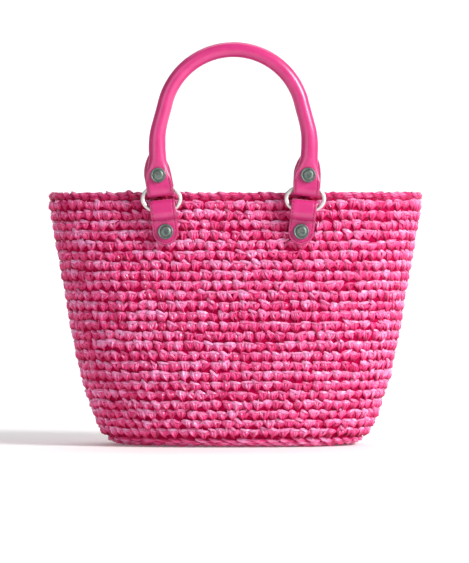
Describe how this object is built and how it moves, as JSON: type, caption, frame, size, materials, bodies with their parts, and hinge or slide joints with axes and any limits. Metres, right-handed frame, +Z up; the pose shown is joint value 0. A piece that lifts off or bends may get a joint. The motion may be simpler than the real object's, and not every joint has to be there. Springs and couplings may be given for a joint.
{
  "type": "beach bag",
  "caption": "Oval crocheted beach bag with a wide open mouth and rolled handles that swing on oval metal rings held by riveted leather tabs.",
  "frame": {"origin": "middle of the flat underside of the base, on the surface that the bag stands on", "axes": "+Z up, +X to the right when the front is looked at, +Y from the front to the rear"},
  "size_m": [0.2986, 0.1745, 0.3156],
  "materials": {
    "raffia": "glossy crocheted raffia",
    "leather": "smooth satin leather with a fine grain",
    "rope": "matt twisted cord",
    "ring_metal": "polished silver-coloured wire",
    "gunmetal": "satin dark grey metal"
  },
  "bodies": {
    "bag": {"base_panel": "raffia", "base_welt_round": "raffia", "wall": "raffia", "rim_round": "raffia", "front_left_tab": "leather", "front_left_tab_stud": "gunmetal", "front_left_inner_patch": "leather", "front_left_tab_nut": "gunmetal", "front_right_tab": "leather", "front_right_tab_stud": "gunmetal", "front_right_inner_patch": "leather", "front_right_tab_nut": "gunmetal", "rear_left_tab": "leather", "rear_left_tab_stud": "gunmetal", "rear_left_inner_patch": "leather", "rear_left_tab_nut": "gunmetal", "rear_right_tab": "leather", "rear_right_tab_stud": "gunmetal", "rear_right_inner_patch": "leather", "rear_right_tab_nut": "gunmetal"},
    "front_left_ring": {"front_left_ring": "ring_metal"},
    "front_right_ring": {"front_right_ring": "ring_metal"},
    "front_handle": {"front_handle_cover": "leather", "front_handle_core": "rope", "front_left_end_stud": "gunmetal", "front_left_end_nut": "gunmetal", "front_right_end_stud": "gunmetal", "front_right_end_nut": "gunmetal"},
    "rear_left_ring": {"rear_left_ring": "ring_metal"},
    "rear_right_ring": {"rear_right_ring": "ring_metal"},
    "rear_handle": {"rear_handle_cover": "leather", "rear_handle_core": "rope", "rear_left_end_stud": "gunmetal", "rear_left_end_nut": "gunmetal", "rear_right_end_stud": "gunmetal", "rear_right_end_nut": "gunmetal"}
  },
  "joints": [
    {"name": "front_left_ring_swing", "type": "hinge", "parent": "bag", "child": "front_left_ring", "pos_m": [-0.0558, -0.07221, 0.18556], "axis": [1, 0, 0], "range_deg": [-4, 135]},
    {"name": "front_right_ring_swing", "type": "hinge", "parent": "bag", "child": "front_right_ring", "pos_m": [0.0558, -0.07221, 0.18556], "axis": [1, 0, 0], "range_deg": [-4, 135]},
    {"name": "front_handle_swing", "type": "hinge", "parent": "front_left_ring", "child": "front_handle", "pos_m": [-0.0558, -0.07221, 0.20264], "axis": [1, 0, 0], "range_deg": [-30, 45]},
    {"name": "rear_left_ring_swing", "type": "hinge", "parent": "bag", "child": "rear_left_ring", "pos_m": [-0.0558, 0.07221, 0.18556], "axis": [-1, 0, 0], "range_deg": [-139, 0]},
    {"name": "rear_right_ring_swing", "type": "hinge", "parent": "bag", "child": "rear_right_ring", "pos_m": [0.0558, 0.07221, 0.18556], "axis": [-1, 0, 0], "range_deg": [-139, 0]},
    {"name": "rear_handle_swing", "type": "hinge", "parent": "rear_left_ring", "child": "rear_handle", "pos_m": [-0.0558, 0.08429, 0.17347], "axis": [-1, 0, 0], "range_deg": [-75, 0]}
  ],
  "couplings": [
    {"joint": "front_right_ring_swing", "follows": "front_left_ring_swing", "ratio": 1},
    {"joint": "rear_right_ring_swing", "follows": "rear_left_ring_swing", "ratio": 1}
  ]
}
